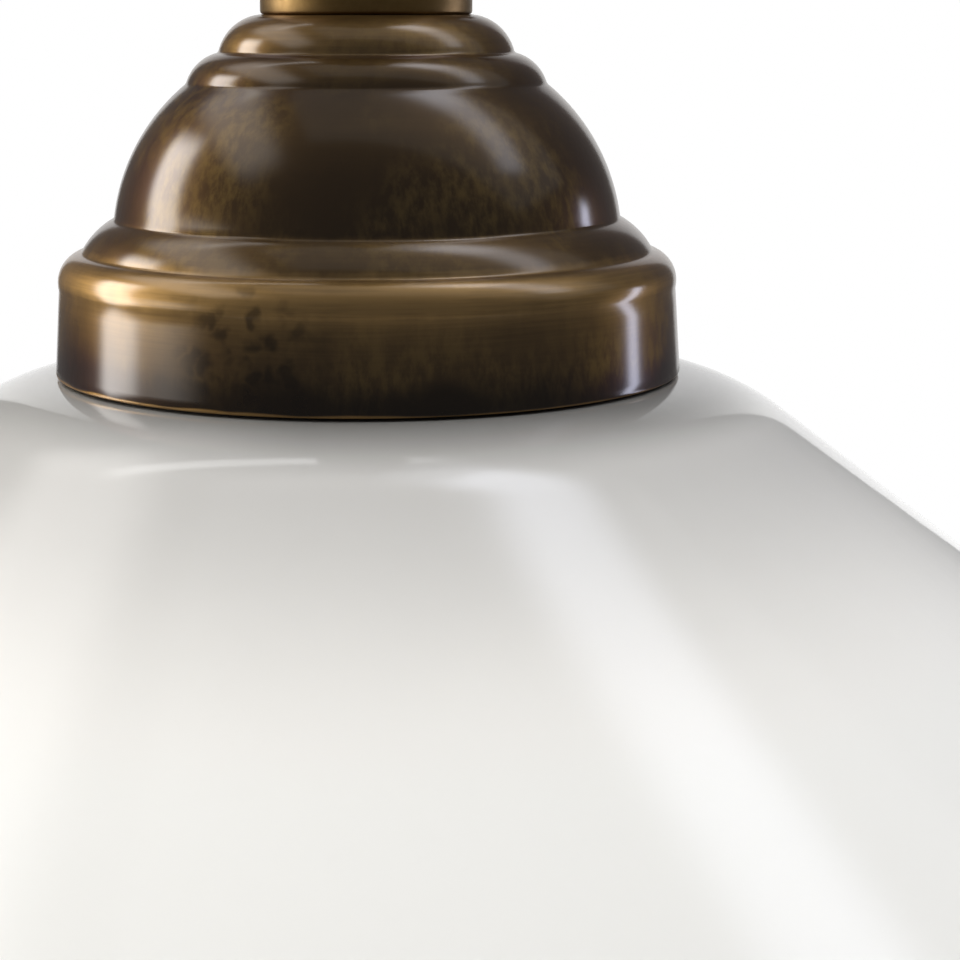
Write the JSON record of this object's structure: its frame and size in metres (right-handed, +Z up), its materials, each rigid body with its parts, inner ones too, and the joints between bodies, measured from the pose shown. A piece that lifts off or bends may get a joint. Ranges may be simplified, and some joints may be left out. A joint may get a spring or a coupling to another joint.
{
  "type": "wall lamp",
  "caption": "Wall lamp with a swan-neck brass arm, a tilting head, a stepped antique-brass cap and a glossy opal glass cone shade held by a threaded ring.",
  "frame": {"origin": "centre of the wall screw slots on the wall plane, behind the rosette", "axes": "+Z up, +Y into the wall, +X to the right of a viewer who faces the wall"},
  "size_m": [0.25, 0.335, 0.2792],
  "materials": {
    "antique_brass": "dark brown patina on spun and turned brass",
    "light_brass": "lighter brushed brass",
    "bright_brass": "plain brass",
    "steel": "zinc plated",
    "white_nylon": "natural nylon",
    "flex_sheath": "black flex sheath",
    "brown_core": "brown insulation",
    "blue_core": "blue insulation",
    "green_core": "green and yellow insulation",
    "fibre": "red vulcanised fibre",
    "white_ceramic": "white glazed porcelain",
    "silicone": "translucent silicone",
    "bulb_metal": "plain",
    "black_glass": "black vitrite",
    "bulb_opal": "matt opal",
    "opal_glass": "glossy opal white"
  },
  "bodies": {
    "wall_side": {"mounting_plate": "steel", "rosette_studs": "steel", "rosette": "antique_brass", "rosette_cap_nuts": "antique_brass", "terminal_block": "white_nylon", "terminal_clamps": "bright_brass", "terminal_screws": "steel", "earth_screw": "bright_brass", "arm_collar": "antique_brass", "arm_nipple": "steel", "arm_lock_washer": "steel", "arm_lock_nut": "steel", "arm_tube": "antique_brass", "arm_flex": "flex_sheath", "live_core": "brown_core", "earth_core": "green_core", "neutral_core": "blue_core", "arm_end_collar": "antique_brass", "swivel_nipple": "steel", "swivel_upper": "antique_brass", "friction_washer": "fibre", "pivot_screw": "bright_brass", "spring_washer": "steel"},
    "thumb_nut": {"thumb_nut": "antique_brass"},
    "lamp_head": {"swivel_lower": "antique_brass", "neck_sleeve": "light_brass", "head_nipple": "steel", "shade_cap": "antique_brass", "cap_lock_washer": "steel", "cap_lock_nut": "steel", "holder_dome": "bright_brass", "holder_shell": "bright_brass", "holder_core": "white_ceramic", "screw_shell": "bright_brass", "centre_contact": "bright_brass", "holder_terminals": "bright_brass", "holder_terminal_screws": "steel", "head_flex": "flex_sheath", "head_live_core": "brown_core", "head_neutral_core": "blue_core", "upper_gasket": "silicone", "bulb_cap": "bulb_metal", "bulb_insulator": "black_glass", "bulb_contact": "bulb_metal", "bulb_envelope": "bulb_opal"},
    "shade": {"glass_shade": "opal_glass", "lower_gasket": "silicone"},
    "shade_ring": {"shade_ring": "bright_brass"}
  },
  "joints": [
    {"name": "head_tilt", "type": "hinge", "parent": "wall_side", "child": "lamp_head", "pos_m": [0, -0.21, -0.03988], "axis": [1, 0, 0], "range_deg": [-60, 30]},
    {"name": "thumb_nut_turn", "type": "hinge", "parent": "wall_side", "child": "thumb_nut", "pos_m": [-0.013, -0.21, -0.03988], "axis": [-1, 0, 0], "range_deg": [0, 360]},
    {"name": "shade_drop", "type": "slide", "parent": "lamp_head", "child": "shade", "axis": [0, 0, -1], "range_m": [0, 0.008]},
    {"name": "shade_ring_turn", "type": "hinge", "parent": "shade", "child": "shade_ring", "pos_m": [0, -0.21, -0.15228], "axis": [0, 0, -1], "range_deg": [0, 1152]}
  ],
  "couplings": [
    {"joint": "shade_ring_turn", "follows": "shade_drop", "rad_per_m": 2513.3}
  ]
}
